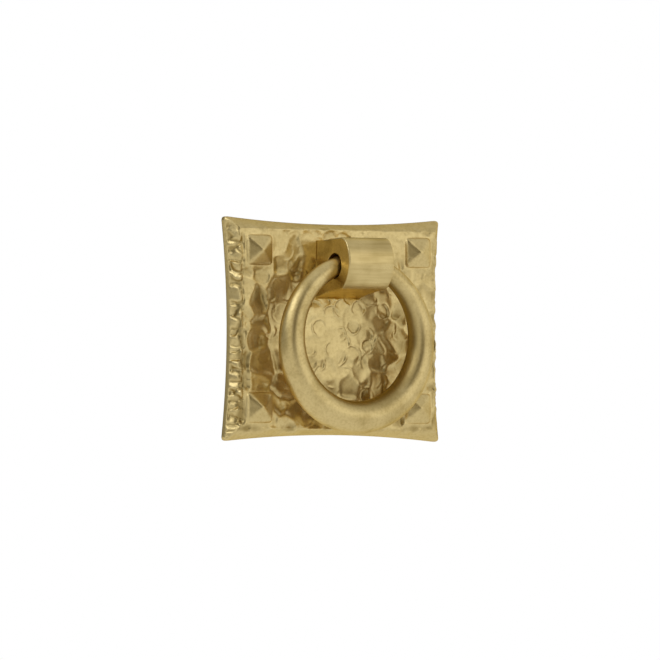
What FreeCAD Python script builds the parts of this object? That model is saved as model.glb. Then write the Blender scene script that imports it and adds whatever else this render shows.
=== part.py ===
import FreeCAD, Part
import math
import os
import random

from FreeCAD import Vector

# Ring pull handle for a drawer or cabinet door, cast in brass.
# Millimetres. X runs to the right, Z up and Y into the drawer front.
# The origin is where the fixing screw enters the back of the pull.

# Backplate
plate_width = 62.4
plate_height = 54.5
plate_face = 4.5
rim_height = 1.35
side_sag = 1.6
corner_radius = 0.9
bevel_width = 3.1
face_corner_radius = 0.6
post_below_top = 12.65
back_rim = 3.6
back_hollow = 1.5
back_corner_radius = 2.0
boss_radius = 7.4

# Corner studs, cast with the plate
stud_side = 7.4
stud_inset = 1.4
stud_wall = 0.55
stud_draft = 0.4
stud_rise = 1.55
stud_root = 1.1

# Hammer blows on the face, each a flat round hammer held a little askew
blow_seed = 42
blow_pitch = 4.6
blow_scatter = 1.5
blow_radius = (1.5, 2.7)
blow_tilt = (4.0, 10.0)
blow_depth = (0.18, 0.4)
blow_reach = 3.0
blow_margin = 0.4

# Strokes of a narrow peen across the sloping border
stroke_pitch = 2.3
stroke_scatter = 0.5
stroke_radius = 1.7
stroke_depth = (0.14, 0.3)
stroke_lift = 0.12
stroke_overrun = 0.5

# Post
post_width = 13.0
post_base_height = 13.7
post_seat_depth = 0.5
post_seat_gap = 0.12
nose_top = 7.6
nose_bottom = -4.95
nose_front = 19.1
nose_front_up = 1.6
nose_corner = 16.4
nose_lip = 15.7
cove_mid_depth = 10.4
cove_mid_up = -5.6
nose_edge_radius = 3.2
post_edge_radius = 0.35

# Tenon of the post, riveted over into the back of the plate
tenon_side = 6.6
tenon_gap = 0.05
rivet_depth = 0.8
screw_hole_radius = 2.1
screw_hole_depth = 7.5

# Ring and the hole it hangs in
hole_radius = 3.05
hole_depth = 12.25
hole_up = 0.65
hole_lip = 0.2
ring_radius = 18.7
rod_bottom_radius = 3.95
rod_top_radius = 2.15
rod_swell = 0.8
ring_butt_gap = 0.2
ring_sections = 40

plate_centre_up = post_below_top - plate_height / 2
face_half_width = plate_width / 2 - bevel_width
face_half_height = plate_height / 2 - bevel_width
stud_across = face_half_width - stud_inset - stud_side / 2
stud_up = face_half_height - stud_inset - stud_side / 2
seat_level = plate_face - post_seat_depth


def at(across, height, up):
    """A point given by its place on the plate and its height off the back."""
    return Vector(across, -height, up)


def join(edges):
    return Part.Wire(Part.__sortEdges__(edges))


def arc(first, middle, last):
    return Part.Arc(first, middle, last).toShape()


def four_sided(corner_points, middles, height):
    """Close a wire of four sides and four rounded corners, mirrored from one quarter.

    corner_points holds the end of the upper side, the middle of the rounding and the
    start of the upright side, for the corner at upper right. middles holds the middle of
    the upper side and of the upright side, each drawn in or straight.
    """
    edges = []
    top_end, round_mid, side_end = corner_points
    top_mid, side_mid = middles

    def put(point, sx, sz):
        return at(sx * point[0], height, plate_centre_up + sz * point[1])

    for sz in (1, -1):
        edges.append(side_edge(put(top_end, -1, sz), put((0, top_mid), 1, sz), put(top_end, 1, sz)))
    for sx in (1, -1):
        edges.append(side_edge(put(side_end, sx, 1), put((side_mid, 0), sx, 1), put(side_end, sx, -1)))
        for sz in (1, -1):
            edges.append(arc(put(top_end, sx, sz), put(round_mid, sx, sz), put(side_end, sx, sz)))
    return join(edges)


def side_edge(first, middle, last):
    """A straight edge where the three points lie in line, an arc where they do not."""
    if middle.distanceToLine(first, last - first) < 1e-7:
        return Part.LineSegment(first, last).toShape()
    return arc(first, middle, last)


def drawn_in_outline(height):
    """The outline of the plate: four sides drawn in, with small rounded corners."""
    half_w = plate_width / 2
    half_h = plate_height / 2
    top_radius = (half_w ** 2 + side_sag ** 2) / (2 * side_sag)
    side_radius = (half_h ** 2 + side_sag ** 2) / (2 * side_sag)
    top_centre = Vector(0, half_h - side_sag + top_radius, 0)
    side_centre = Vector(half_w - side_sag + side_radius, 0, 0)
    between = side_centre - top_centre
    reach_top = top_radius + corner_radius
    reach_side = side_radius + corner_radius
    along = (between.Length ** 2 + reach_top ** 2 - reach_side ** 2) / (2 * between.Length)
    aside = math.sqrt(reach_top ** 2 - along ** 2)
    unit = Vector(between).normalize()
    normal = Vector(unit.y, -unit.x, 0)
    options = [top_centre + unit * along + normal * (aside * turn) for turn in (1, -1)]
    centre = min(options, key=lambda p: p.Length)
    top_end = centre + Vector(top_centre - centre).normalize() * corner_radius
    side_end = centre + Vector(side_centre - centre).normalize() * corner_radius
    outward = Vector(top_end + side_end - centre * 2).normalize()
    round_mid = centre + outward * corner_radius
    return four_sided((top_end, round_mid, side_end), (half_h - side_sag, half_w - side_sag), height)


def straight_outline(half_w, half_h, radius, height):
    """A plain rectangle with rounded corners."""
    inset = radius * (1 - math.sqrt(0.5))
    corner = ((half_w - radius, half_h), (half_w - inset, half_h - inset), (half_w, half_h - radius))
    return four_sided(corner, (half_h, half_w), height)


def side_pull(share):
    """How far a side is drawn in at a share of its half length from the middle."""
    return side_sag * (1 - share ** 2)


def plate_blank():
    """The plain casting: a square edge, then a border sloping up to the face."""
    edge = Part.Face(drawn_in_outline(0)).extrude(at(0, rim_height, 0))
    slope = Part.makeLoft(
        [
            drawn_in_outline(rim_height),
            straight_outline(face_half_width, face_half_height, face_corner_radius, plate_face),
        ],
        True,
        True,
    )
    return edge.fuse(slope).removeSplitter()


def hammer_blow(across, up, radius, tilt, heading, depth):
    """A round flat hammer face, tilted so that one side of it bites to the given depth."""
    lean = math.radians(tilt)
    turn = math.radians(heading)
    toward = Vector(math.cos(turn), 0, math.sin(turn))
    out = Vector(0, -1, 0) * math.cos(lean) + toward * math.sin(lean)
    centre = at(across, plate_face - depth + radius * math.sin(lean), up)
    return Part.makeCylinder(radius, blow_reach, centre, out)


def covered(across, up, radius):
    """True where a stud or the post will stand over the whole of a blow."""
    from_plate_centre = up - plate_centre_up
    over_stud = max(abs(abs(across) - stud_across), abs(abs(from_plate_centre) - stud_up))
    over_post = max(abs(across) - post_width / 2, abs(up) - post_base_height / 2)
    return over_stud + radius < stud_side / 2 or over_post + radius < 0


def within(value, limit):
    return max(-limit, min(limit, value))


def face_blows():
    """Blows scattered over the face about the points of a staggered grid."""
    chance = random.Random(blow_seed)
    row_step = blow_pitch * math.sqrt(0.75)
    rows = int(face_half_height / row_step)
    columns = int(face_half_width / blow_pitch)
    blows = []
    for row in range(-rows, rows + 1):
        for column in range(-columns, columns + 1):
            radius = chance.uniform(*blow_radius)
            across = (column + 0.5 * (row % 2)) * blow_pitch + chance.uniform(-1, 1) * blow_scatter
            across = within(across, face_half_width - blow_margin - radius)
            up = row * row_step + chance.uniform(-1, 1) * blow_scatter
            up = within(up, face_half_height - blow_margin - radius) + plate_centre_up
            tilt = chance.uniform(*blow_tilt)
            heading = chance.uniform(0, 360)
            depth = chance.uniform(*blow_depth)
            if not covered(across, up, radius):
                blows.append(hammer_blow(across, up, radius, tilt, heading, depth))
    return blows


def peen_stroke(foot, head, depth):
    """A round-backed groove that bites to the given depth at the face and runs out at the rim."""
    slope = Vector(foot - head).normalize()
    out = at(0, 1, 0) - slope * at(0, 1, 0).dot(slope)
    out.normalize()
    start = head - slope * stroke_overrun + out * (stroke_radius - depth)
    end = foot + out * (stroke_radius + stroke_lift)
    return Part.makeCylinder(stroke_radius, (end - start).Length, start, end - start)


def border_strokes():
    """Strokes across the two upright sides of the border, side by side at uneven steps."""
    chance = random.Random(blow_seed + 1)
    strokes = []
    half_h = plate_height / 2
    count = int((face_half_height - stroke_pitch) / stroke_pitch)
    for sign in (-1, 1):
        for step in range(-count, count + 1):
            z = step * stroke_pitch + chance.uniform(-1, 1) * stroke_scatter
            outer = plate_width / 2 - side_pull(z / half_h)
            foot = at(sign * outer, rim_height, plate_centre_up + z)
            head = at(sign * face_half_width, plate_face, plate_centre_up + z)
            strokes.append(peen_stroke(foot, head, chance.uniform(*stroke_depth)))
    return strokes


def stud_places():
    return [(sx * stud_across, plate_centre_up + sz * stud_up) for sx in (-1, 1) for sz in (-1, 1)]


def square_loop(half, height, across=0.0, up=0.0):
    turns = [(-1, -1), (1, -1), (1, 1), (-1, 1), (-1, -1)]
    return Part.makePolygon([at(across + half * sx, height, up + half * sz) for sx, sz in turns])


def stud(across, up):
    """A square stud with short tapering sides and a low four-sided point."""
    half = stud_side / 2
    shoulder = plate_face + stud_wall
    spread = stud_draft * (stud_wall + stud_root) / stud_wall
    foot = square_loop(half - stud_draft + spread, plate_face - stud_root, across, up)
    brow = square_loop(half - stud_draft, shoulder, across, up)
    tip = Part.Vertex(at(across, shoulder + stud_rise, up))
    sides = Part.makeLoft([foot, brow], True, True)
    return sides.fuse(Part.makeLoft([brow, tip], True, True)).removeSplitter()


def upright_block(half_w, half_h, low, high):
    return Part.makeBox(2 * half_w, high - low, 2 * half_h, at(-half_w, high, -half_h))


def back_recess():
    """The hollow in the back of the casting, leaving a rim and a boss round the tenon."""
    half_w = plate_width / 2 - side_sag - back_rim
    half_h = plate_height / 2 - side_sag - back_rim
    outline = straight_outline(half_w, half_h, back_corner_radius, 0)
    hollow = Part.Face(outline).extrude(at(0, back_hollow, 0))
    boss = Part.makeCylinder(boss_radius, back_hollow, Vector(0, 0, 0), at(0, 1, 0))
    return hollow.cut(boss)


def tapered_square(side, spread, depth):
    """A square that is wider at the back by spread on each side and narrows over depth."""
    return Part.makeLoft([square_loop(side / 2 + spread, 0), square_loop(side / 2, depth)], True, True)


def backplate():
    plate = plate_blank()
    for blow in face_blows() + border_strokes():
        plate = plate.cut(blow)
    plate = plate.fuse([stud(across, up) for across, up in stud_places()])
    seat_half_w = post_width / 2 + post_seat_gap
    seat_half_h = post_base_height / 2 + post_seat_gap
    plate = plate.cut(upright_block(seat_half_w, seat_half_h, seat_level, plate_face + 1))
    plate = plate.cut(back_recess())
    socket = tenon_side / 2 + tenon_gap
    plate = plate.cut(upright_block(socket, socket, -1, plate_face))
    plate = plate.cut(tapered_square(2 * socket, rivet_depth, rivet_depth))
    return plate.removeSplitter()


def post_profile():
    """The side view of the post: a rounded nose on a body that spreads towards the plate."""
    left = -post_width / 2
    base = post_base_height / 2
    foot_top = at(left, seat_level, base)
    foot_bottom = at(left, seat_level, -base)
    lip_top = at(left, plate_face, base)
    lip_bottom = at(left, plate_face, -base)
    nose_high = at(left, nose_corner, nose_top)
    nose_low = at(left, nose_lip, nose_bottom)
    nose_mid = at(left, nose_front, nose_front_up)
    cove_mid = at(left, cove_mid_depth, cove_mid_up)
    return join(
        [
            Part.LineSegment(foot_bottom, foot_top).toShape(),
            Part.LineSegment(foot_top, lip_top).toShape(),
            Part.LineSegment(lip_top, nose_high).toShape(),
            arc(nose_high, nose_mid, nose_low),
            arc(nose_low, cove_mid, lip_bottom),
            Part.LineSegment(lip_bottom, foot_bottom).toShape(),
        ]
    )


def edge_along(shape, point, tolerance=1e-3):
    """The edges that run across the post through the given point of its side view."""
    found = []
    for edge in shape.Edges:
        start, end = edge.Vertexes[0].Point, edge.Vertexes[-1].Point
        along_x = abs(start.y - end.y) < tolerance and abs(start.z - end.z) < tolerance
        if along_x and abs(start.y - point.y) < tolerance and abs(start.z - point.z) < tolerance:
            found.append(edge)
    return found


def end_edges(shape):
    """The edges round the two ends of the post, clear of the plate it sits in."""
    found = []
    for edge in shape.Edges:
        box = edge.BoundBox
        if box.XLength < 1e-6 and box.YMin < -plate_face - 1e-3:
            found.append(edge)
    return found


def ring_post():
    body = Part.Face(post_profile()).extrude(Vector(post_width, 0, 0))
    body = body.makeFillet(nose_edge_radius, edge_along(body, at(0, nose_corner, nose_top)))
    body = body.makeFillet(post_edge_radius, end_edges(body))
    hole_start = at(-post_width / 2 - 1, hole_depth, hole_up)
    body = body.cut(Part.makeCylinder(hole_radius, post_width + 2, hole_start, Vector(1, 0, 0)))
    lips = [e for e in body.Edges if e.BoundBox.XLength < 1e-6 and is_hole_edge(e)]
    body = body.makeFillet(hole_lip, lips)
    half = tenon_side / 2
    tenon = upright_block(half, half, 0, seat_level)
    flare = tapered_square(tenon_side, rivet_depth, rivet_depth)
    body = body.fuse([tenon, flare]).removeSplitter()
    screw_hole = Part.makeCylinder(screw_hole_radius, screw_hole_depth, Vector(0, 0, 0), at(0, 1, 0))
    return body.cut(screw_hole)


def is_hole_edge(edge):
    return hasattr(edge.Curve, "Radius") and abs(edge.Curve.Radius - hole_radius) < 1e-6


def rod_radius(angle):
    """The rod swells from the top of the ring, angle 0, to the bottom."""
    share = ((1 - math.cos(angle)) / 2) ** rod_swell
    return rod_top_radius + (rod_bottom_radius - rod_top_radius) * share


def ring_centre_up():
    """Place the arch of the rod so that it is as clear of the hole above as below."""
    half_length = post_width / 2
    lean = math.asin(half_length / ring_radius)
    drop = ring_radius * (1 - math.cos(lean))
    below = drop + rod_radius(lean) / math.cos(lean)
    rise = (below - rod_radius(0)) / 2
    return hole_up + rise - ring_radius


def pull_ring():
    """A tapering rod bent to a ring, its two ends meeting inside the post."""
    centre = at(0, hole_depth, ring_centre_up())
    start = ring_butt_gap / 2 / ring_radius
    loops = []
    for step in range(ring_sections + 1):
        angle = start + (2 * math.pi - 2 * start) * step / ring_sections
        outward = Vector(math.sin(angle), 0, math.cos(angle))
        along = Vector(math.cos(angle), 0, -math.sin(angle))
        loop = Part.Circle(centre + outward * ring_radius, along, rod_radius(angle))
        loops.append(Part.Wire(loop.toShape()))
    return Part.makeLoft(loops, True, False)


def single(shape):
    """The one solid that a piece must come out as."""
    if len(shape.Solids) != 1:
        raise ValueError("the piece is not one solid")
    return shape.Solids[0]


os.makedirs("parts", exist_ok=True)
for name, make in (("backplate", backplate), ("ring_post", ring_post), ("pull_ring", pull_ring)):
    single(make()).exportStep("parts/" + name + ".step")
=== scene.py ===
# %% [markdown]
# # A hammered ring pull
#
# This lesson dresses a small piece of cabinet hardware: a brass plate beaten all over with a
# hammer, a plain post standing out of it, and a ring that tapers from thick at the bottom to
# thin where it hangs in the post. The solids come from the CAD model and give every piece its
# place. Here the surfaces get what a casting and a hammer would give them.

import math
import random

import bmesh
import bpy
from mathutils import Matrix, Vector
from mathutils.geometry import tessellate_polygon


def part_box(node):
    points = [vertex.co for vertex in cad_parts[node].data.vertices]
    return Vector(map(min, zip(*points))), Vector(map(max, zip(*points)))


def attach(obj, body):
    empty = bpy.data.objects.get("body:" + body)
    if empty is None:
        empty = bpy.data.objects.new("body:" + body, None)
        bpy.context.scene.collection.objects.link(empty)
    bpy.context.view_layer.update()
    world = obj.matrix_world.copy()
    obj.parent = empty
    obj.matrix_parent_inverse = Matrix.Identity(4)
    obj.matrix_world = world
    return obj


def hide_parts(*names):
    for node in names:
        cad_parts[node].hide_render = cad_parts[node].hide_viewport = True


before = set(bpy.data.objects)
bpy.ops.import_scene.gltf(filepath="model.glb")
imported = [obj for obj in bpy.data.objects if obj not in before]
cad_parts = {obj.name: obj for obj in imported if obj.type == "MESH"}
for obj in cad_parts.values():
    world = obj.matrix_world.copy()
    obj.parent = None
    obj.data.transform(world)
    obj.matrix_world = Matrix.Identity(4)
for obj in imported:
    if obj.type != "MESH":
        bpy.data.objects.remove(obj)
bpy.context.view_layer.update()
scene = bpy.context.scene
scene.view_settings.view_transform = "Standard"
MM = 0.001
print("pieces from the CAD model:", sorted(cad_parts))

# %% [markdown]
# ## Sums instead of wires
#
# Node trees are easier to read as sums. `Flow` wraps one socket, and arithmetic on it adds the
# node that does the sum. Every other kind of node is added by `node`, which takes its type, the
# values or flows for its sockets, and its settings.

# %% A value that runs through a node tree
class Flow:
    """One output socket. Sums written with it become nodes of the same tree."""

    def __init__(self, tree, socket):
        self.tree = tree
        self.socket = socket

    @staticmethod
    def node(tree, kind, values=None, settings=None, output=0):
        made = tree.nodes.new(kind)
        for name, setting in (settings or {}).items():
            setattr(made, name, setting)
        for name, value in (values or {}).items():
            socket = pick(made.inputs, name)
            if isinstance(value, Flow):
                value.into(socket)
            else:
                socket.default_value = value
        return Flow(tree, pick(made.outputs, output))

    def into(self, socket):
        self.tree.links.new(self.socket, socket)

    def also(self, output):
        """Another output of the node that this flow comes from."""
        return Flow(self.tree, pick(self.socket.node.outputs, output))

    def reckon(self, operation, *terms):
        values = dict(enumerate(terms))
        return Flow.node(self.tree, "ShaderNodeMath", values, {"operation": operation})

    def __add__(self, other):
        return self.reckon("ADD", self, other)

    def __sub__(self, other):
        return self.reckon("SUBTRACT", self, other)

    def __mul__(self, other):
        return self.reckon("MULTIPLY", self, other)

    def __truediv__(self, other):
        return self.reckon("DIVIDE", self, other)

    def __pow__(self, other):
        return self.reckon("POWER", self, other)

    def __radd__(self, other):
        return self.reckon("ADD", other, self)

    def __rsub__(self, other):
        return self.reckon("SUBTRACT", other, self)

    def __rmul__(self, other):
        return self.reckon("MULTIPLY", other, self)

    def __rtruediv__(self, other):
        return self.reckon("DIVIDE", other, self)

    def __neg__(self):
        return self.reckon("MULTIPLY", self, -1.0)

    def __abs__(self):
        return self.reckon("ABSOLUTE", self)

    def least(self, other):
        return self.reckon("MINIMUM", self, other)

    def most(self, other):
        return self.reckon("MAXIMUM", self, other)

    def soft_most(self, other, softness):
        return self.reckon("SMOOTH_MAX", self, other, softness)

    def sign(self):
        return self.reckon("SIGN", self)

    def root(self):
        return self.reckon("SQRT", self)

    def held(self):
        """Kept between 0 and 1."""
        return self.least(1.0).most(0.0)

    def ease(self, low, high):
        """Rises smoothly from 0 where this is low to 1 where it is high."""
        values = {"Value": self, "From Min": low, "From Max": high}
        smooth = {"interpolation_type": "SMOOTHSTEP"}
        return Flow.node(self.tree, "ShaderNodeMapRange", values, smooth)


# %% [markdown]
# A few short functions stand for the nodes that every tree below uses.

# %% Nodes in plain words
def pick(sockets, name):
    """A socket by number, or the one in use among those of that name."""
    if isinstance(name, int):
        return sockets[name]
    return next(socket for socket in sockets if socket.name == name and socket.enabled)


def split(flow):
    first = Flow.node(flow.tree, "ShaderNodeSeparateXYZ", {0: flow})
    return first, first.also(1), first.also(2)


def vector(tree, x, y, z):
    return Flow.node(tree, "ShaderNodeCombineXYZ", {0: x, 1: y, 2: z})


def cloud(tree, place, scale, detail=2.0):
    """A smooth random reading from 0 to 1."""
    values = {"Vector": place, "Scale": scale, "Detail": detail}
    return Flow.node(tree, "ShaderNodeTexNoise", values, output="Fac")


def noise(tree, place, scale, detail=2.0):
    """A smooth random reading from -1 to 1."""
    return cloud(tree, place, scale, detail) * 2.0 - 1.0


def blend(tree, share, first, second):
    """A colour between two others."""
    values = {"Factor": share, "A": first, "B": second}
    return Flow.node(tree, "ShaderNodeMix", values, {"data_type": "RGBA"}, "Result")


def mix(tree, share, first, second):
    """A surface between two others."""
    return Flow.node(tree, "ShaderNodeMixShader", {0: share, 1: first, 2: second})


def solid(colour):
    return (*colour, 1.0)


print("sums and short functions are ready")

# %% [markdown]
# ## Camera
#
# The pull is seen from its left through a long lens, a touch below the middle, so the plate shows
# its left border broad and its right border almost on edge.

# %% Camera
PIXELS_ACROSS = 660.0
PIXELS_PER_MM = 4.1
SENSOR_WIDTH = 36.0
YAW = math.radians(-33.0)
RISE = math.radians(-1.2)
STAND_OFF = 2.0
AIM = Vector((0.24, 0.0, -14.6)) * MM

level_reach = math.cos(RISE)
toward = Vector((math.sin(YAW) * level_reach, -math.cos(YAW) * level_reach, math.sin(RISE)))
lens = bpy.data.cameras.new("long lens")
lens.sensor_width = SENSOR_WIDTH
lens.lens = lens.sensor_width * STAND_OFF / (PIXELS_ACROSS / PIXELS_PER_MM * MM)
camera = bpy.data.objects.new("camera", lens)
scene.collection.objects.link(camera)
camera.location = AIM + toward * STAND_OFF
camera.rotation_euler = toward.to_track_quat("Z", "Y").to_euler()
scene.camera = camera
print("lens", round(lens.lens), "mm")

# %% [markdown]
# ## Studio
#
# Satin brass is as bright as what it mirrors, so the room matters more than the lamp. A card of
# cloth shows one tone to the metal. To the camera it is mostly white, with a share of lit cloth,
# so that the floor still takes a shadow.

# %% A card that glows
WHITE = (1.0, 1.0, 1.0)
BROWN = (1.0, 0.72, 0.12)
CLOTH_PALE = (0.86, 0.86, 0.86)
CLOTH_DULL = (0.82, 0.82, 0.82)
CLOTH_ROUGHNESS = 0.9
WEAVE_SCALE = 3.0
CAMERA_GLOW = 0.8


def card_material(name, tone, tint):
    made = bpy.data.materials.new(name)
    made.use_nodes = True
    tree = made.node_tree
    cloth = tree.nodes["Principled BSDF"]
    cloth.inputs["Roughness"].default_value = CLOTH_ROUGHNESS
    weave = cloud(tree, Flow.node(tree, "ShaderNodeTexCoord", output="Object"), WEAVE_SCALE)
    colour = blend(tree, weave, solid(CLOTH_PALE), solid(CLOTH_DULL))
    colour.into(cloth.inputs["Base Color"])
    seen = Flow.node(tree, "ShaderNodeLightPath", output="Is Camera Ray")
    mirrored = seen.also("Is Glossy Ray").most(seen.also("Is Transmission Ray"))
    glow, white = (
        Flow.node(tree, "ShaderNodeEmission", {"Color": solid(hue), "Strength": strength})
        for hue, strength in ((tint, tone), (WHITE, 1.0))
    )
    surface = mix(tree, mirrored, Flow(tree, cloth.outputs[0]), glow)
    surface = mix(tree, seen * CAMERA_GLOW, surface, white)
    surface.into(tree.nodes["Material Output"].inputs["Surface"])
    return made


def glowing_card(name, centre, facing, width, height, tone, tint=WHITE):
    """A flat card that looks the way of facing."""
    out = Vector(facing).normalized()
    lies_flat = abs(out.z) > 0.99
    across = Vector((1, 0, 0)) if lies_flat else out.cross((0, 0, 1)).normalized()
    right = across * (width / 2)
    up = across.cross(out) * (height / 2)
    spread = ((-1, -1), (1, -1), (1, 1), (-1, 1))
    corners = [Vector(centre) + right * a + up * b for a, b in spread]
    mesh = bpy.data.meshes.new(name)
    mesh.from_pydata([tuple(corner) for corner in corners], [], [(0, 1, 2, 3)])
    mesh.materials.append(card_material(name, tone, tint))
    made = bpy.data.objects.new(name, mesh)
    scene.collection.objects.link(made)
    return made


def bearing(degrees, distance, height=0.0):
    """A place round the pull: 0 is straight in front of the plate, 90 at its right."""
    turn = math.radians(degrees)
    return Vector((math.sin(turn) * distance, -math.cos(turn) * distance, height))


print("cloth tones:", CLOTH_PALE[0], "and", CLOTH_DULL[0])

# %% [markdown]
# White cards stand at the right, which the flat face mirrors, and behind the camera. Grey ones
# stand at the left and the back. One brown card in front draws the thin dark line along the ring
# and shades one slope of each stud. The cards only show in the metal and stay out of the picture.

# %% Floor and cards
FLOOR_LEVEL = -0.16
FLOOR_WIDTH = 4.6
FLOOR_TONE = 0.74
ROOF_LEVEL = 2.6
ROOF_WIDTH = 7.0
ROOF_TONE = 0.62
CARD_DISTANCE = 3.0
CARD_HEIGHT = 5.0
# Name, bearing in degrees, width in metres, tone and tint
CARDS = (
    ("left_card", -112.0, 6.0, 0.30, WHITE),
    ("camera_card", -45.0, 2.2, 0.85, WHITE),
    ("front_card", -16.0, 2.0, 0.08, BROWN),
    ("right_card", 88.0, 4.4, 0.75, WHITE),
    ("back_card", 180.0, 8.0, 0.26, WHITE),
)

glowing_card("floor", (0, 0, FLOOR_LEVEL), (0, 0, 1), FLOOR_WIDTH, FLOOR_WIDTH, FLOOR_TONE)
for name, degrees, width, tone, tint in CARDS:
    stand = bearing(degrees, CARD_DISTANCE)
    card = glowing_card(name, stand, -stand, width, CARD_HEIGHT, tone, tint)
    card.visible_camera = False
roof = glowing_card("roof", (0, 0, ROOF_LEVEL), (0, 0, -1), ROOF_WIDTH, ROOF_WIDTH, ROOF_TONE)
roof.visible_camera = False
print("studio cards:", len(CARDS) + 2)

# %% [markdown]
# The room itself gives a low even light, and is white where the camera or the metal looks at it.
# One large window lamp at the left picks out the lumps of the border.

# %% Room light and window
ROOM_LIGHT = 0.55
WINDOW_BEARING = -85.0
WINDOW_DISTANCE = 2.0
WINDOW_HEIGHT = 1.6

world = bpy.data.worlds.new("white room")
scene.world = world
world.use_nodes = True
room = world.node_tree
ray = Flow.node(room, "ShaderNodeLightPath", output="Is Camera Ray")
shown = ray.most(ray.also("Is Glossy Ray")).most(ray.also("Is Transmission Ray"))
dim, bright = (
    Flow.node(room, "ShaderNodeBackground", {"Color": solid(WHITE), "Strength": strength})
    for strength in (ROOM_LIGHT, 1.0)
)
mix(room, shown, dim, bright).into(room.nodes["World Output"].inputs["Surface"])
room.nodes.remove(room.nodes["Background"])

window = bpy.data.lights.new("window", "AREA")
window.size = 1.7
window.energy = 15.0
window.color = (0.78, 0.82, 0.92)
lamp = bpy.data.objects.new("window", window)
lamp.location = bearing(WINDOW_BEARING, WINDOW_DISTANCE, WINDOW_HEIGHT)
lamp.rotation_euler = lamp.location.to_track_quat("Z", "Y").to_euler()
lamp.visible_camera = False
scene.collection.objects.link(lamp)
print("window lamp:", window.energy, "W")

# %% [markdown]
# ## Brass
#
# Lacquered satin brass is one metal with three finishes: the plate is left as the hammer and
# the blasting left it, the post is brushed along its length, and the ring is rubbed round.
# A fine grain goes into the roughness and the bump, and a slow cloud shifts the tone a little.
# Hollows, which the trees below note on the mesh, get a darker colour as painted shade.

# %% Brass finishes
BRIGHT = (0.77, 0.605, 0.274)
DEEP = (0.56, 0.42, 0.165)
PAINTED_SHADE_COLOUR = (0.30, 0.205, 0.06)
EDGE_TINT = (0.92, 0.76, 0.42)
PAINTED_SHADE_SHARE = 0.75
CLOUD_SCALE = 160.0
SPECKLE_SCALE = 0.35
BUMP_STRENGTH = 0.5


def brass(name, roughness, grain, grain_depth, deep_share):
    """Satin brass. grain holds the number of grains in a metre along X, Y and Z."""
    made = bpy.data.materials.new(name)
    made.use_nodes = True
    tree = made.node_tree
    shader = tree.nodes["Principled BSDF"]
    shader.inputs["Metallic"].default_value = 1.0
    shader.inputs["Specular Tint"].default_value = solid(EDGE_TINT)
    place = Flow.node(tree, "ShaderNodeTexCoord", output="Object")
    drawn = {0: place, 1: grain}
    stretched = Flow.node(tree, "ShaderNodeVectorMath", drawn, {"operation": "MULTIPLY"})
    fine = cloud(tree, stretched, 1.0, 3.0)
    slow = cloud(tree, place, CLOUD_SCALE, 4.0)
    speckle = cloud(tree, stretched, SPECKLE_SCALE, 2.0)

    share = slow.ease(0.35, 0.75) * deep_share + fine.ease(0.3, 0.8) * 0.12
    share = (share + speckle.ease(0.4, 0.7) * 0.35).held()
    tone = blend(tree, share, solid(BRIGHT), solid(DEEP))
    # Painted shade: the hollow attribute darkens the base colour in recesses, seams and the ring's
    # inner side.
    hollow = Flow.node(tree, "ShaderNodeAttribute", {}, {"attribute_name": "hollow"}, "Fac")
    tone = blend(tree, hollow * PAINTED_SHADE_SHARE, tone, solid(PAINTED_SHADE_COLOUR))
    tone.into(shader.inputs["Base Color"])
    rubbed = roughness + (fine - 0.5) * 0.14 + (slow - 0.5) * 0.1 + (speckle - 0.5) * 0.12
    rubbed.into(shader.inputs["Roughness"])
    relief = {"Height": fine + speckle, "Strength": BUMP_STRENGTH, "Distance": grain_depth}
    Flow.node(tree, "ShaderNodeBump", relief).into(shader.inputs["Normal"])
    return made


plate_brass = brass("hammered brass", 0.34, (4200.0, 4200.0, 4200.0), 0.000012, 0.35)
post_brass = brass("brushed brass", 0.31, (260.0, 4200.0, 4200.0), 0.00003, 0.7)
ring_brass = brass("rubbed brass", 0.37, (4600.0, 4600.0, 4600.0), 0.000010, 0.9)
print("finishes:", plate_brass.name, post_brass.name, ring_brass.name)

# %% [markdown]
# ## Baking a tree
#
# Each tree below runs once, on a mesh that holds its starting points, and its result is kept as
# a plain mesh.

# %% Run a tree and keep its mesh
SOCKET_KINDS = {float: "NodeSocketFloat", int: "NodeSocketInt"}


def new_tree(name, inputs):
    """A geometry tree with a geometry input and named inputs with their values."""
    tree = bpy.data.node_groups.new(name, "GeometryNodeTree")
    add = tree.interface.new_socket
    add("Geometry", in_out="INPUT", socket_type="NodeSocketGeometry")
    add("Geometry", in_out="OUTPUT", socket_type="NodeSocketGeometry")
    for label, value in inputs.items():
        add(label, in_out="INPUT", socket_type=SOCKET_KINDS[type(value)])
    add("Brass", in_out="INPUT", socket_type="NodeSocketMaterial")
    entry = tree.nodes.new("NodeGroupInput")
    flows = {socket.name: Flow(tree, socket) for socket in entry.outputs if socket.name}
    return tree, flows


def close_tree(tree, geometry, brass_flow):
    whole = Flow.node(tree, "GeometryNodeRealizeInstances", {0: geometry})
    smooth = Flow.node(tree, "GeometryNodeSetShadeSmooth", {"Geometry": whole})
    finish = {"Geometry": smooth, "Material": brass_flow}
    dressed = Flow.node(tree, "GeometryNodeSetMaterial", finish)
    leave = tree.nodes.new("NodeGroupOutput")
    dressed.into(leave.inputs[0])


def bake(name, tree, inputs, material, start):
    """Run the tree on the start mesh and return a plain object."""
    made = bpy.data.objects.new(name, start)
    scene.collection.objects.link(made)
    modifier = made.modifiers.new("tree", "NODES")
    modifier.node_group = tree
    values = {**inputs, "Brass": material}
    for item in tree.interface.items_tree:
        if item.in_out == "INPUT" and item.name in values:
            modifier[item.identifier] = values[item.name]
    seen = made.evaluated_get(bpy.context.evaluated_depsgraph_get())
    mesh = bpy.data.meshes.new_from_object(seen)
    made.modifiers.clear()
    made.data = mesh
    mesh.name = name
    mesh.materials.clear()
    mesh.materials.append(material)
    mesh.polygons.foreach_set("material_index", [0] * len(mesh.polygons))
    return made


print("tree inputs can be:", ", ".join(kind.__name__ for kind in SOCKET_KINDS))

# %% [markdown]
# The trees share a few steps: reading a point's place, moving it, and noting a value on it.

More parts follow.
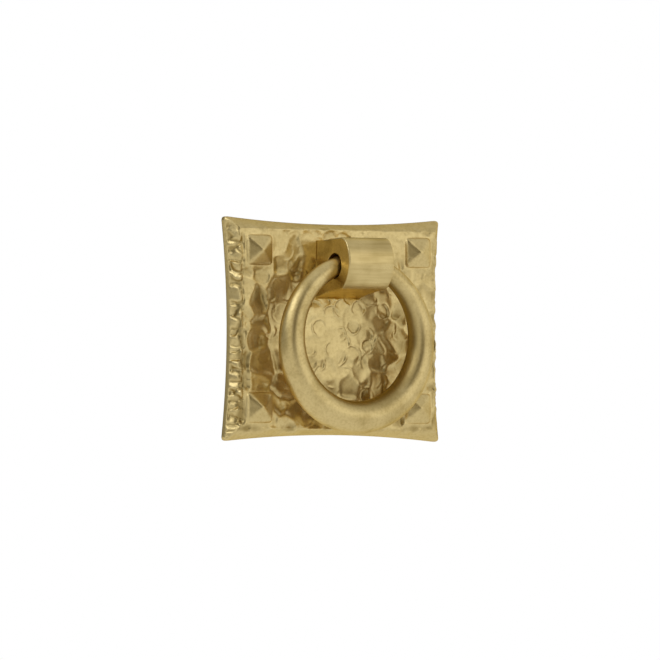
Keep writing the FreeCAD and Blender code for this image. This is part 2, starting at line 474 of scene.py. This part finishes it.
# %% Steps that the trees share
def position(tree):
    return Flow.node(tree, "GeometryNodeInputPosition")


def moved(tree, geometry, place):
    values = {"Geometry": geometry, "Position": place}
    return Flow.node(tree, "GeometryNodeSetPosition", values)


def attribute(tree, name):
    return Flow.node(tree, "GeometryNodeInputNamedAttribute", {"Name": name})


def store(tree, geometry, name, value):
    values = {"Geometry": geometry, "Name": name, "Value": value}
    return Flow.node(tree, "GeometryNodeStoreNamedAttribute", values)


def worn(tree, value, times, kind="FLOAT"):
    """A value evened out between neighbouring points, as wear does."""
    values = {"Value": value, "Iterations": times}
    return Flow.node(tree, "GeometryNodeBlurAttribute", values, {"data_type": kind})


def square_sheet(tree, across, up):
    """A flat sheet from -1 to 1 both ways."""
    values = {"Size X": 2.0, "Size Y": 2.0, "Vertices X": across, "Vertices Y": up}
    return Flow.node(tree, "GeometryNodeMeshGrid", values)


print("shared steps are ready")

# %% [markdown]
# ## The hammer
#
# A planishing hammer has a small round face, flat but never held quite square. Each blow bites
# on one side and dies away on the other, and leaves a crescent. A blow is kept as a point with
# its radius, slope, heading and depth, and the plate's tree later strikes them one by one.

# %% The blows
PLATE_WIDTH = 62.4
PLATE_HEIGHT = 54.5
PLATE_TOP = 12.65
PLATE_CENTRE_UP = PLATE_TOP - PLATE_HEIGHT / 2
PLATE_FACE = 4.5
RIM_HEIGHT = 1.35
DRAWN_IN = 1.6
BEVEL_WIDTH = 3.1
FACE_HALF_WIDTH = PLATE_WIDTH / 2 - BEVEL_WIDTH
FACE_HALF_HEIGHT = PLATE_HEIGHT / 2 - BEVEL_WIDTH
BLOW_SEED = 42
BLOW_PITCH = 4.6
BLOW_SCATTER = 1.5
BLOW_MARGIN = 0.4
BLOW_RADIUS = (1.5, 2.7)
BLOW_LEAN = (4.0, 10.0)
BLOW_DEPTH = (0.18, 0.4)
BLOW_KEYS = ("radius", "slope", "heading", "depth")


def within(value, limit):
    return max(-limit, min(limit, value))


def one_blow(chance, across, up):
    """A blow near a place, kept off the border. The draws follow one fixed order."""
    radius = chance.uniform(*BLOW_RADIUS)
    across = across + chance.uniform(-1, 1) * BLOW_SCATTER
    up = up + chance.uniform(-1, 1) * BLOW_SCATTER
    return {
        "place": (
            within(across, FACE_HALF_WIDTH - BLOW_MARGIN - radius),
            0.0,
            within(up, FACE_HALF_HEIGHT - BLOW_MARGIN - radius),
        ),
        "radius": radius,
        "slope": math.tan(math.radians(chance.uniform(*BLOW_LEAN))),
        "heading": math.radians(chance.uniform(0, 360)),
        "depth": chance.uniform(*BLOW_DEPTH),
    }


def scatter_blows(seed):
    chance = random.Random(seed)
    row_step = BLOW_PITCH * math.sqrt(0.75)
    rows = int(FACE_HALF_HEIGHT / row_step)
    columns = int(FACE_HALF_WIDTH / BLOW_PITCH)
    return [
        one_blow(chance, (column + 0.5 * (row % 2)) * BLOW_PITCH, row * row_step)
        for row in range(-rows, rows + 1)
        for column in range(-columns, columns + 1)
    ]


def blow_mesh(blows):
    mesh = bpy.data.meshes.new("blows")
    mesh.from_pydata([blow["place"] for blow in blows], [], [])
    for key in BLOW_KEYS:
        kept = mesh.attributes.new(key, "FLOAT", "POINT")
        kept.data.foreach_set("value", [blow[key] for blow in blows])
    return mesh


blows = scatter_blows(BLOW_SEED)
print("hammer blows:", len(blows))

# %% [markdown]
# ## The plate
#
# The plate starts as a square sheet of fine cells. The tree first bends the sheet to the casting:
# a flat face, a border that slopes down to a drawn-in outline, and an upright edge. On each point
# it notes where the point lies, for the steps that follow.

# %% Bend the sheet to the casting
STUD_SIDE = 7.4
STUD_INSET = 1.4
STUD_ACROSS = FACE_HALF_WIDTH - STUD_INSET - STUD_SIDE / 2
STUD_UP = FACE_HALF_HEIGHT - STUD_INSET - STUD_SIDE / 2
SEAT_ROOM = 0.12
PLATE_SIZES = {
    "Width": PLATE_WIDTH,
    "Height": PLATE_HEIGHT,
    "Face": PLATE_FACE,
    "Rim": RIM_HEIGHT,
    "Drawn In": DRAWN_IN,
    "Border": BEVEL_WIDTH,
    "Corner": 1.15,
    "Cells Across": 300,
    "Cells Up": 264,
    "Blows": len(blows),
    "Blow Share": 0.95,
    "Blow Edge": 0.35,
    "Burr": 0.2,
    "Wander": 0.55,
    "Cobble Size": 5.0,
    "Cobble Tilt": 0.24,
    "Cobble Ridge": 0.17,
    "Cobble Wear": 7,
    "Lump Length": 2.3,
    "Lump Closing": 0.004,
    "Lump Tilt": 2.9,
    "Lump Height": 0.6,
    "Lump Wear": 2,
    "Dent": 0.42,
    "Wave Height": 0.4,
    "Groove": 0.24,
    "Stud Ground": 0.25,
    "Stud Apron": 1.3,
    "Seat Half Width": 6.5 + SEAT_ROOM,
    "Seat Half Height": 6.85 + SEAT_ROOM,
    "Seat": 4.0,
    "Centre Up": PLATE_CENTRE_UP,
}
# Shares of the sheet at which its face ends and its slope ends
FACE_SHARE = 0.84
SLOPE_SHARE = 0.975
TINY = 1e-6


def sheet_reading(along, face_half, border):
    """A cell's place in one direction: on the face, down the slope, down the edge, and in all."""
    size = abs(along)
    on_face = (size / FACE_SHARE).held()
    down_slope = ((size - FACE_SHARE) / (SLOPE_SHARE - FACE_SHARE)).held()
    down_edge = ((size - SLOPE_SHARE) / (1.0 - SLOPE_SHARE)).held()
    reach = on_face * face_half + down_slope * border
    return on_face, down_slope, down_edge, reach


def cast_sheet(tree, size):
    """The sheet with its readings, and half the width and height of the face."""
    sheet = square_sheet(tree, size["Cells Across"], size["Cells Up"])
    u, v, _ = split(position(tree))
    half_w, half_h = size["Width"] * 0.5, size["Height"] * 0.5
    face_w, face_h = half_w - size["Border"], half_h - size["Border"]
    face_x, slope_x, edge_x, reach_x = sheet_reading(u, face_w, size["Border"])
    face_z, slope_z, edge_z, reach_z = sheet_reading(v, face_h, size["Border"])
    share_x, share_z = reach_x / half_w, reach_z / half_h
    outer_x = half_w - size["Drawn In"] * (1.0 - share_z * share_z)
    outer_z = half_h - size["Drawn In"] * (1.0 - share_x * share_x)
    x = face_x * face_w + slope_x * (outer_x - face_w)
    z = face_z * face_h + slope_z * (outer_z - face_h)

    over_x = (x - (half_w - size["Corner"])).most(0.0)
    over_z = (z - (half_h - size["Corner"])).most(0.0)
    diagonal = (over_x * over_x + over_z * over_z).root().most(TINY)
    rounding = over_x.most(over_z) / diagonal
    x = x - over_x + over_x * rounding
    z = z - over_z + over_z * rounding
    readings = {
        "across": x * u.sign(),
        "up": z * v.sign(),
        "slope": slope_x.most(slope_z),
        "edge": edge_x.most(edge_z),
        "side": slope_x - slope_z,
        "past_side": x - face_w,
        "past_end": z - face_h,
        "bite": 0.0,
        "burr": 0.0,
    }
    for name, value in readings.items():
        sheet = store(tree, sheet, name, value)
    at = {name: attribute(tree, name) for name in readings}
    at["plan"] = vector(tree, at["across"], at["up"], 0.0)
    return sheet, at, (face_w, face_h)


print("plate:", PLATE_WIDTH, "by", PLATE_HEIGHT, "mm before its sides draw in")

# %% [markdown]
# The blows are struck in a repeat zone, one turn for each. A blow's bite is a slanting flat inside
# its circle, and the metal that it pushes aside stands up as a thin burr round it.

# %% Strike the blows
BURR_WIDTH = 0.42
BURR_GAIN = 6.0
BITE_SOFTNESS = 0.03
WANDER_SCALE = 0.5


def strike(tree, size, sheet, at):
    """Go through the blows one by one and keep the deepest bite and the burr round it."""
    enter = tree.nodes.new("GeometryNodeRepeatInput")
    leave = tree.nodes.new("GeometryNodeRepeatOutput")
    enter.pair_with_output(leave)
    size["Blows"].into(enter.inputs["Iterations"])
    sheet.into(enter.inputs["Geometry"])
    turn = Flow(tree, enter.outputs["Iteration"])

    def of_blow(value, kind="FLOAT"):
        values = {"Geometry": size["Geometry"], "Value": value, "Index": turn}
        return Flow.node(tree, "GeometryNodeSampleIndex", values, {"data_type": kind})

    centre_x, _, centre_z = split(of_blow(position(tree), "FLOAT_VECTOR"))
    radius, slope, heading, depth = (of_blow(attribute(tree, key)) for key in BLOW_KEYS)
    from_x = at["across"] - centre_x
    from_z = at["up"] - centre_z
    east, north = heading.reckon("COSINE", heading), heading.reckon("SINE", heading)
    ahead = from_x * east + from_z * north
    wander = noise(tree, at["plan"], WANDER_SCALE, 3.0) * size["Wander"]
    away = (from_x * from_x + from_z * from_z).root() + wander
    flat = (depth - (radius - ahead) * slope).most(0.0)
    bite = flat * (1.0 - away.ease(radius - size["Blow Edge"], radius))
    rim = 1.0 - (abs(away - radius) / BURR_WIDTH).held()
    burr = rim * rim * (flat * BURR_GAIN).held()
    struck = Flow(tree, enter.outputs["Geometry"])
    struck = store(tree, struck, "bite", at["bite"].soft_most(bite, BITE_SOFTNESS))
    struck = store(tree, struck, "burr", at["burr"].most(burr))
    struck.into(leave.inputs["Geometry"])
    return Flow(tree, leave.outputs["Geometry"])


print("burr:", BURR_WIDTH, "mm wide")

# %% [markdown]
# Blow beside blow leaves facets, like cobbles, that lean each its own way and meet in worn seams.
# They grow bolder away from the middle, and the single blows show best in the middle.

# %% Facets on the face
CELL_SMOOTHNESS = 0.3
FACET_SEAM = (0.0, 0.26)
FACET_BEND = 1.2
FACET_BEND_SCALE = 0.25
FACET_STRETCH = 0.85
MIDDLE = (0.2, 0.75)
MIDDLE_SHARE = 0.45
OUTER_SHARE = 1.05
TOP_BAND = (13.0, 22.0)
TOP_CALM = 0.4
MARKS_FADE = (0.4, 0.8)
MARKS_LOST = 0.8
FACE_END = (0.0, 0.6)


def cobbles(tree, place, tilt):
    """The height of flats that lean each its own way, and the distance to the nearest seam."""
    values = {"Vector": place, "Scale": 1.0}
    flats = {"feature": "SMOOTH_F1", "voronoi_dimensions": "2D"}
    softened = {**values, "Smoothness": CELL_SMOOTHNESS}
    cell = Flow.node(tree, "ShaderNodeTexVoronoi", softened, flats, "Color")
    lean_x, lean_z, _ = split(cell)
    x, z, _ = split(place)
    middle_x, middle_z, _ = split(cell.also("Position"))
    leaning = ((x - middle_x) * (lean_x - 0.5) + (z - middle_z) * (lean_z - 0.5)) * tilt
    seams = {"feature": "DISTANCE_TO_EDGE", "voronoi_dimensions": "2D"}
    return leaning, Flow.node(tree, "ShaderNodeTexVoronoi", values, seams, "Distance")


def beat_face(tree, size, sheet, at, face_half):
    """Facets and single blows, which end where the border begins."""
    x, z, cell = at["across"], at["up"], size["Cobble Size"]
    face_w, face_h = face_half
    turned = vector(tree, z, x, 3.0)
    bent_x = x + noise(tree, at["plan"], FACET_BEND_SCALE, 0.0) * FACET_BEND
    bent_z = z * FACET_STRETCH + noise(tree, turned, FACET_BEND_SCALE, 0.0) * FACET_BEND
    bent = vector(tree, bent_x / cell, bent_z / cell, 0.0)
    leaning, inside = cobbles(tree, bent, size["Cobble Tilt"] * cell)

    from_middle = (x * x / (face_w * face_w) + z * z / (face_h * face_h)).root()
    force = MIDDLE_SHARE + from_middle.ease(*MIDDLE) * OUTER_SHARE
    force = force * (1.0 - z.ease(*TOP_BAND) * TOP_CALM)
    ridged = leaning - inside.ease(*FACET_SEAM) * size["Cobble Ridge"]
    sheet = store(tree, sheet, "facets", ridged * force)
    facets = worn(tree, attribute(tree, "facets"), size["Cobble Wear"])
    marks = at["burr"] * size["Burr"] - at["bite"] * size["Blow Share"]
    marks = marks * (1.0 - from_middle.ease(*MARKS_FADE) * MARKS_LOST)
    return sheet, (facets + marks) * (1.0 - at["slope"].ease(*FACE_END))


print("facets:", PLATE_SIZES["Cobble Size"], "mm across")

# %% [markdown]
# A narrow peen chops the two upright borders across into lumps, bolder at the left, and leaves a
# groove along the face. The top and bottom borders only wave, with a few dents along their arris.

# %% Lumps and wear on the border
LUMP_SPREAD = 0.3
LUMP_PART = 9.0
LUMP_START = (-0.7, -0.2)
LUMP_END = (0.82, 0.98)
LUMP_BOLD = 0.68
LUMP_LEFT = 0.32
LUMP_SEAM = (0.0, 0.22)
LUMP_SINK = 0.7
SEAM_SHADE_WIDTH = (0.02, 0.2)
MITRE = (0.3, 1.6)
CHIP = 0.1
CHIP_SCALE = 1.6
GROOVE_PLACE = 0.55
GROOVE_WIDTH = 0.4
WAVE_START = (0.0, 0.3)
WAVE_END = (0.7, 1.0)
WAVE_SIDE = (-0.15, 0.1)
ARRIS_PLACE = 0.5
ARRIS_WIDTH = 2.4
DENT_MARGIN = 2.0


def off_mitre(at):
    """0 at the mitred corners of the border, 1 along its upright sides."""
    return (at["past_side"] - at["past_end"]).ease(*MITRE)


def chop_border(tree, size, sheet, at):
    """Lumps along the upright sides, and the seams between them."""
    x, z, past, plan = (at[name] for name in ("across", "up", "past_side", "plan"))
    along = z / size["Lump Length"] - z * z * size["Lump Closing"]
    ragged = vector(
        tree,
        past * LUMP_SPREAD + noise(tree, plan, 0.5) * 0.2 + x.sign() * LUMP_PART,
        along + noise(tree, plan, 0.3) * 0.8,
        0.0,
    )
    leaning, inside = cobbles(tree, ragged, size["Lump Tilt"])
    chipped = noise(tree, plan, CHIP_SCALE) * CHIP
    lumped = past.ease(*LUMP_START) * (1.0 - at["slope"].ease(*LUMP_END)) * off_mitre(at)
    lumped = lumped * (LUMP_BOLD - x.sign() * LUMP_LEFT)
    raised = leaning + chipped + (inside.ease(*LUMP_SEAM) - LUMP_SINK) * size["Lump Height"]
    sheet = store(tree, sheet, "lumps", lumped * raised)
    # This seam mask only paints shade into the colour; the shape of the seams comes from raised
    # above.
    sheet = store(tree, sheet, "seams", lumped * (1.0 - inside.ease(*SEAM_SHADE_WIDTH)))
    return sheet, worn(tree, attribute(tree, "lumps"), size["Lump Wear"])


def wear_border(tree, size, at, face_w):
    """The waves of the top and bottom, the groove along the sides, and the dents."""
    slope, plan = at["slope"], at["plan"]
    waves = noise(tree, plan, 0.3, 1.5) * slope.ease(*WAVE_START) * (1.0 - slope.ease(*WAVE_END))
    waves = waves * size["Wave Height"] * (1.0 - at["side"].ease(*WAVE_SIDE))
    groove = 1.0 - (abs(at["past_side"] + GROOVE_PLACE) / GROOVE_WIDTH).held()
    groove = (groove * off_mitre(at) * (0.6 + noise(tree, plan, 1.3) * 0.9)).held()
    arris = 1.0 - (abs(at["past_end"] + ARRIS_PLACE) / ARRIS_WIDTH).ease(0.0, 1.0)
    dents = arris * (noise(tree, plan, 0.28, 1.0) + 0.2).held()
    dents = dents * (1.0 - abs(at["across"]).ease(face_w - DENT_MARGIN, face_w))
    return waves, groove, dents


print("lumps:", PLATE_SIZES["Lump Length"], "mm long")

# %% [markdown]
# The last step adds the relief to the casting. The founder spared the ground round the studs, so
# the relief fades there. Then the seat of the post is sunk, and the hollows and the seams between
# lumps are noted, so that the finish paints shade into them.

# %% Put the plate together
ROUND_OFF = 0.16
LUMP_RISE = 0.5
LUMP_PROUD = 0.45
HIGHEST = 0.5
SEAT_EDGE = (-0.1, 0.25)
ABOVE_ALL = 10.0
PAINTED_SHADE_GAIN = -2.2
PAINTED_SHADE_START = 0.42


def cast_level(size, at):
    """The height of the plain casting, with a soft turn from the face into the slope."""
    slope = at["slope"]
    fall = (slope * slope + ROUND_OFF * ROUND_OFF).root() - ROUND_OFF
    fall = fall / (math.hypot(1.0, ROUND_OFF) - ROUND_OFF)
    return size["Face"] + (size["Rim"] - size["Face"]) * fall - size["Rim"] * at["edge"]


def stud_ground(size, x, z):
    """The share of the relief that stays: little round the studs, all of it elsewhere."""
    off_stud = abs(abs(x) - STUD_ACROSS).most(abs(abs(z) - STUD_UP)) - STUD_SIDE / 2
    near = 1.0 - off_stud.ease(0.0, size["Stud Apron"])
    return 1.0 - (1.0 - size["Stud Ground"]) * near


def plate_tree():
    tree, size = new_tree("hammered plate", PLATE_SIZES)
    sheet, at, face_half = cast_sheet(tree, size)
    x, z = at["across"], at["up"]
    sheet = strike(tree, size, sheet, at)
    sheet, beaten = beat_face(tree, size, sheet, at, face_half)
    sheet, lumps = chop_border(tree, size, sheet, at)
    waves, groove, dents = wear_border(tree, size, at, face_half[0])
    relief = beaten + lumps * LUMP_RISE + waves
    relief = relief - groove * size["Groove"] - dents * size["Dent"]
    relief = relief * stud_ground(size, x, z)

    post_up = z + size["Centre Up"]
    past_width = abs(x) - size["Seat Half Width"]
    off_seat = past_width.most(abs(post_up) - size["Seat Half Height"])
    seat = size["Seat"] + off_seat.ease(*SEAT_EDGE) * ABOVE_ALL
    height = (cast_level(size, at) + relief.least(HIGHEST)).least(seat).most(0.0)
    # Painted shade: low relief and the seams between lumps are marked to darken the colour.
    hollow = (relief * PAINTED_SHADE_GAIN - PAINTED_SHADE_START).most(attribute(tree, "seams")).held()
    sheet = store(tree, sheet, "hollow", hollow)
    proud = x + x.sign() * lumps.least(LUMP_PROUD) * LUMP_RISE
    placed = vector(tree, proud * MM, height * -MM, post_up * MM)
    close_tree(tree, moved(tree, sheet, placed), size["Brass"])
    return tree


plate = bake("hammered_plate", plate_tree(), PLATE_SIZES, plate_brass, blow_mesh(blows))
print("plate front:", len(plate.data.polygons), "cells")

# %% [markdown]
# ## The studs
#
# Four square studs with low points stand in the corners, cast with the plate. One stud is a small
# sheet drawn up to a point, and a grid of two by two points sets it in the corners. Its walls go
# on down into the plate, so no hollow of the hammering shows beneath them.

# %% The studs' tree
STUD_SIZES = {
    "Side": STUD_SIDE,
    "Brow": 7.0,
    "Wall": 0.35,
    "Root": 1.6,
    "Rise": 1.75,
    "Across": 2 * STUD_ACROSS,
    "Up": 2 * STUD_UP,
    "Cells": 45,
    "Face": PLATE_FACE,
    "Centre Up": PLATE_CENTRE_UP,
}
BROW_SHARE = 8.0 / 11.0
SQUARENESS = 8.0
BROW_WEAR = 3
STUD_GRAIN = 0.05
STUD_GRAIN_SCALE = 0.35


def one_stud(tree, size):
    """A sheet drawn up to a point, with a brow all round and walls down into the plate."""
    sheet = square_sheet(tree, size["Cells"], size["Cells"])
    u, v, _ = split(position(tree))
    out = (abs(u) ** SQUARENESS + abs(v) ** SQUARENESS) ** (1.0 / SQUARENESS)
    up_roof = (out / BROW_SHARE).held()
    down_side = ((out - BROW_SHARE) / (1.0 - BROW_SHARE)).held()
    half = size["Brow"] * 0.5
    depth = size["Wall"] + size["Root"]
    foot = half + (size["Side"] - size["Brow"]) * 0.5 * depth / size["Wall"]
    grow = (up_roof * half + down_side * (foot - half)) / out.most(TINY)
    level = size["Face"] + size["Wall"] + size["Rise"] * (1.0 - up_roof) - depth * down_side
    stud = moved(tree, sheet, vector(tree, u * grow, -level, v * grow))
    return moved(tree, stud, worn(tree, position(tree), BROW_WEAR, "FLOAT_VECTOR"))


def stud_tree():
    tree, size = new_tree("pyramid studs", STUD_SIZES)
    stud = one_stud(tree, size)
    corners = {"Size X": size["Across"], "Size Y": size["Up"], "Vertices X": 2, "Vertices Y": 2}
    points = Flow.node(tree, "GeometryNodeMeshGrid", corners)
    across, up, _ = split(position(tree))
    points = moved(tree, points, vector(tree, across, 0.0, up + size["Centre Up"]))
    on_points = {"Points": points, "Instance": stud}
    studs = Flow.node(tree, "GeometryNodeInstanceOnPoints", on_points)
    studs = Flow.node(tree, "GeometryNodeRealizeInstances", {0: studs})
    place = position(tree)
    x, y, z = split(place)
    rough = noise(tree, place, STUD_GRAIN_SCALE) * STUD_GRAIN
    placed = vector(tree, (x + rough) * MM, (y + rough) * MM, (z - rough) * MM)
    close_tree(tree, moved(tree, studs, placed), size["Brass"])
    return tree


start = bpy.data.meshes.new("start")
studs = bake("corner_studs", stud_tree(), STUD_SIZES, plate_brass, start)
print("studs:", len(studs.data.polygons), "cells")

# %% [markdown]
# ## The back of the plate
#
# A casting this thick is hollowed behind to save metal, leaving a rim that lies on the wood and a
# round boss where the tenon of the post comes through. The back is drawn as loops, from the edge
# of the plate to the end of the tenon, and joined by flats and walls in turn.

# %% Loops and what joins them
def rounded_rectangle(half_w, half_h, radius, centre_up, steps=8):
    points = []
    for turn, (sx, sz) in enumerate(((1, 1), (-1, 1), (-1, -1), (1, -1))):
        for step in range(steps + 1):
            angle = math.radians(90 * (turn + step / steps))
            x = sx * (half_w - radius) + radius * math.cos(angle)
            z = centre_up + sz * (half_h - radius) + radius * math.sin(angle)
            points.append((x, z))
    return points


def circle(radius, count=64):
    angles = [2 * math.pi * i / count for i in range(count)]
    return [(radius * math.cos(angle), radius * math.sin(angle)) for angle in angles]


def square(half):
    return [(half, half), (-half, half), (-half, -half), (half, -half)]


def edge_loop(mesh):
    """The open edge of a sheet as one loop of vertices in order."""
    first = next(edge for edge in mesh.edges if edge.is_boundary)
    loop = [first.verts[0], first.verts[1]]
    while True:
        here = loop[-1]
        steps = [edge.other_vert(here) for edge in here.link_edges if edge.is_boundary]
        step = next((vert for vert in steps if vert is not loop[-2]), None)
        if step is loop[0] or step is None:
            return loop
        loop.append(step)


def flat_ring(mesh, outer, inner):
    """Fill the flat between two loops with triangles that face the back."""
    verts = outer + inner
    plan = [[Vector((vert.co.x, vert.co.z, 0)) for vert in loop] for loop in (outer, inner)]
    for corners in tessellate_polygon(plan):
        face = mesh.faces.new([verts[i] for i in corners])
        face.normal_update()
        if face.normal.y < 0:
            face.normal_flip()


def wall(mesh, low, high):
    """Join two loops of the same count."""
    for i in range(len(low)):
        j = (i + 1) % len(low)
        mesh.faces.new([low[i], low[j], high[j], high[i]])


print("points round the boss:", len(circle(1.0)))

# %% [markdown]
# The studs become part of the plate's mesh here, since they are one casting.

# %% Close the plate with its back
BACK_RIM = 3.6
HOLLOW_CORNER = 2.0
HOLLOW_DEPTH = 1.5
BOSS_RADIUS = 7.4
PIT_HALF = 4.16
TENON_HALF = 3.35
PIT_DEPTH = 0.81


def close_back(plate, studs):
    mesh = bmesh.new()
    mesh.from_mesh(plate.data)
    rim = edge_loop(mesh)
    mesh.from_mesh(studs.data)
    hollow_w = PLATE_WIDTH / 2 - DRAWN_IN - BACK_RIM
    hollow_h = PLATE_HEIGHT / 2 - DRAWN_IN - BACK_RIM
    hollow = rounded_rectangle(hollow_w, hollow_h, HOLLOW_CORNER, PLATE_CENTRE_UP)
    rows = (
        (hollow, 0.0),
        (hollow, HOLLOW_DEPTH),
        (circle(BOSS_RADIUS), HOLLOW_DEPTH),
        (circle(BOSS_RADIUS), 0.0),
        (square(PIT_HALF), 0.0),
        (square(TENON_HALF), PIT_DEPTH),
    )
    loops = [rim]
    for points, height in rows:
        loops.append([mesh.verts.new((x * MM, -height * MM, z * MM)) for x, z in points])
    for step, (outer, inner) in enumerate(zip(loops, loops[1:])):
        join = wall if step % 2 else flat_ring
        join(mesh, outer, inner)
    mesh.faces.new(loops[-1])
    made = len(mesh.faces)
    mesh.to_mesh(plate.data)
    mesh.free()
    bpy.data.objects.remove(studs)
    return made


faces = close_back(plate, studs)
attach(plate, "base")
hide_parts("backplate")
print("whole plate:", faces, "faces")

# %% [markdown]
# ## The ring
#
# The ring is a rod drawn thinner towards both ends, bent round and closed inside the post. Its
# tree sweeps a circle along an arc and swells it by the height on the ring. The inner side, which
# faces the plate, is noted as a hollow, so that the finish paints shade on it.

# %% The ring's tree
RING_SIZES = {
    "Ring Radius": 18.7,
    "Rod Bottom": 3.95,
    "Rod Top": 2.15,
    "Swell": 0.8,
    "Butt Gap": 0.2,
    "Steps Round": 256,
    "Steps Across": 64,
    "Depth": 12.25,
    "Centre Up": 0.0,
}
INNER_SHADE_SPAN = (0.3, 1.0)
lowest = Vector(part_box("pull_ring")[0])
RING_SIZES["Centre Up"] = lowest.z / MM + RING_SIZES["Rod Bottom"] + RING_SIZES["Ring Radius"]


def ring_tree():
    tree, size = new_tree("tapering ring", RING_SIZES)
    gap = size["Butt Gap"] / size["Ring Radius"]
    bend = {
        "Resolution": size["Steps Round"],
        "Radius": size["Ring Radius"],
        "Start Angle": math.pi / 2 + gap * 0.5,
        "Sweep Angle": 2 * math.pi - gap,
    }
    arc = Flow.node(tree, "GeometryNodeCurveArc", bend, {"mode": "RADIUS"})
    x, y, _ = split(position(tree))
    share = ((1.0 - y / size["Ring Radius"]) * 0.5).held() ** size["Swell"]
    girth = size["Rod Top"] + (size["Rod Bottom"] - size["Rod Top"]) * share
    arc = store(tree, arc, "girth", girth)
    arc = moved(tree, arc, vector(tree, x, -size["Depth"], y + size["Centre Up"]))
    section = {"Resolution": size["Steps Across"], "Radius": 1.0}
    rod = Flow.node(tree, "GeometryNodeCurvePrimitiveCircle", section)
    girth = attribute(tree, "girth")
    swept = {"Curve": arc, "Profile Curve": rod, "Scale": girth, "Fill Caps": True}
    ring = Flow.node(tree, "GeometryNodeCurveToMesh", swept)

    x, y, z = split(position(tree))
    rise = z - size["Centre Up"]
    inward = (size["Ring Radius"] - (x * x + rise * rise).root()) / girth
    # Painted shade: the inner side of the ring is marked so that its colour is darker.
    ring = store(tree, ring, "hollow", inward.ease(*INNER_SHADE_SPAN))
    ring = moved(tree, ring, vector(tree, x * MM, y * MM, z * MM))
    close_tree(tree, ring, size["Brass"])
    return tree


start = bpy.data.meshes.new("start")
ring = bake("tapering_ring", ring_tree(), RING_SIZES, ring_brass, start)
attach(ring, "ring")
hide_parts("pull_ring")
print("ring:", len(ring.data.polygons), "faces")

# %% [markdown]
# ## The post
#
# The post is already smooth and true in the CAD model, so it only takes its brushed finish.

# %% Finish the post
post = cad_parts["ring_post"]
post.data.materials.clear()
post.data.materials.append(post_brass)
print("post:", post_brass.name)
